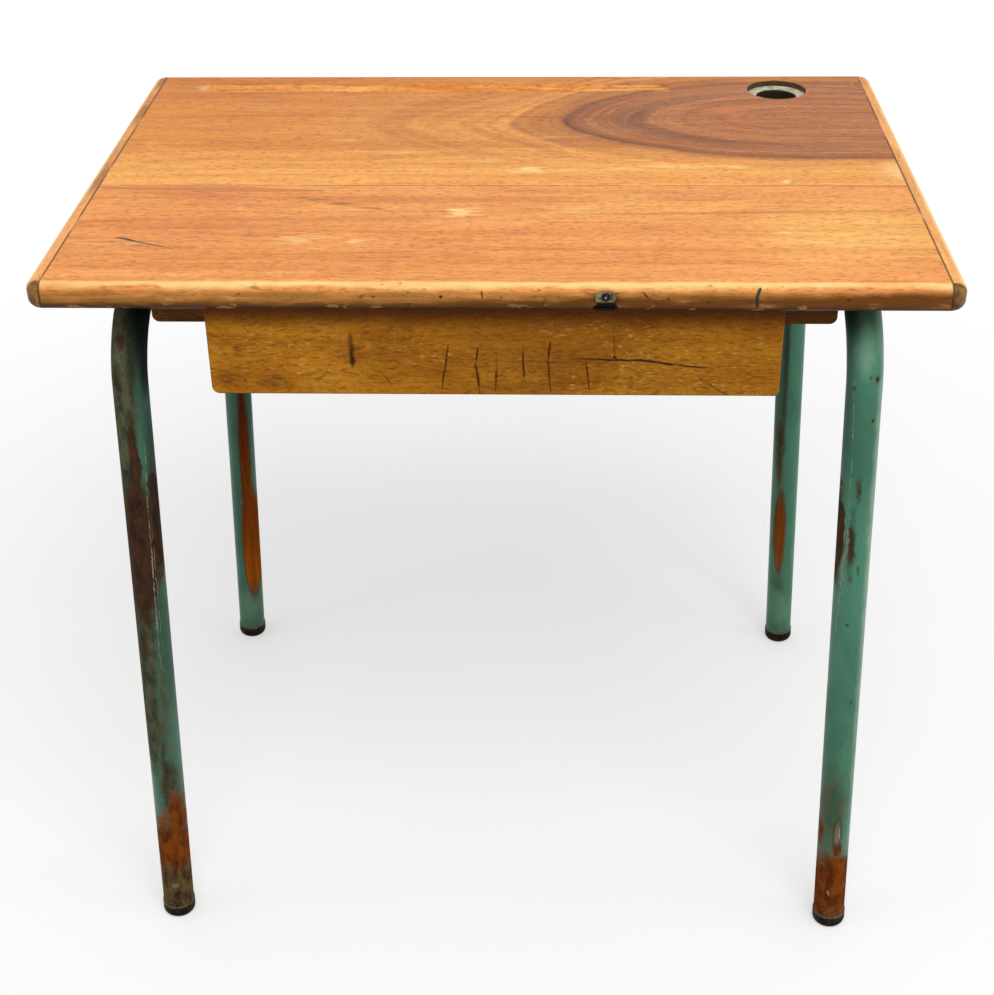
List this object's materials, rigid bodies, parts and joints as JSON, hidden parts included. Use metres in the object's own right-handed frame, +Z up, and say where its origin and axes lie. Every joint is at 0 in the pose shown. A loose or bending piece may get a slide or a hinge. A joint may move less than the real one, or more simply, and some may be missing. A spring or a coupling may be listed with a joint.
{
  "type": "school desk with lift lid",
  "caption": "Single school desk: a wooden lift lid with pencil groove and inkwell hole over a shallow wooden box hung between bent green tube leg hoops.",
  "frame": {"origin": "on the floor under the middle of the closed top", "axes": "+X to the pupil's right along the top's length, +Y away from the pupil, +Z up"},
  "size_m": [0.7, 0.5, 0.65],
  "materials": {
    "front_board_wood": "worn satin varnish",
    "rear_board_wood": "worn satin varnish",
    "lipping_wood": "worn satin varnish",
    "cleat_wood": "bare",
    "panel_wood": "old varnish",
    "box_wood": "bare",
    "plywood": "bare",
    "hanger_wood": "dark stain",
    "tube_paint": "chipped enamel",
    "foot_rubber": "matte",
    "catch_metal": "dull",
    "hinge_steel": "dull",
    "screw_steel": "dull",
    "nail_steel": "dark",
    "bolt_steel": "zinc"
  },
  "bodies": {
    "frame": {"left_leg_hoop": "tube_paint", "right_leg_hoop": "tube_paint", "rear_cross_tube": "tube_paint", "front_left_foot": "foot_rubber", "front_right_foot": "foot_rubber", "rear_left_foot": "foot_rubber", "rear_right_foot": "foot_rubber", "front_panel": "panel_wood", "back_panel": "box_wood", "bottom_board": "plywood", "left_side_board": "box_wood", "right_side_board": "box_wood", "front_left_hanger_block": "hanger_wood", "front_right_hanger_block": "hanger_wood", "rear_left_hanger_block": "hanger_wood", "rear_right_hanger_block": "hanger_wood", "hanger_bolts": "bolt_steel", "hanger_washers": "bolt_steel", "hanger_nuts": "bolt_steel", "front_panel_nails": "nail_steel", "back_panel_nails": "nail_steel", "bottom_nails": "nail_steel", "left_hinge_box_leaf": "hinge_steel", "right_hinge_box_leaf": "hinge_steel", "left_hinge_pin": "hinge_steel", "right_hinge_pin": "hinge_steel", "hinge_box_screws": "screw_steel"},
    "lid": {"lid_front_board": "front_board_wood", "lid_rear_board": "rear_board_wood", "lid_left_lipping": "lipping_wood", "lid_right_lipping": "lipping_wood", "lid_left_cleat": "cleat_wood", "lid_right_cleat": "cleat_wood", "lid_cleat_screws": "screw_steel", "catch_plate": "catch_metal", "catch_screw": "catch_metal", "left_hinge_lid_leaf": "hinge_steel", "right_hinge_lid_leaf": "hinge_steel", "hinge_lid_screws": "screw_steel"}
  },
  "joints": [
    {"name": "lid_hinge", "type": "hinge", "parent": "frame", "child": "lid", "pos_m": [0, 0.2285, 0.6235], "axis": [-1, 0, 0], "range_deg": [0, 100]}
  ]
}
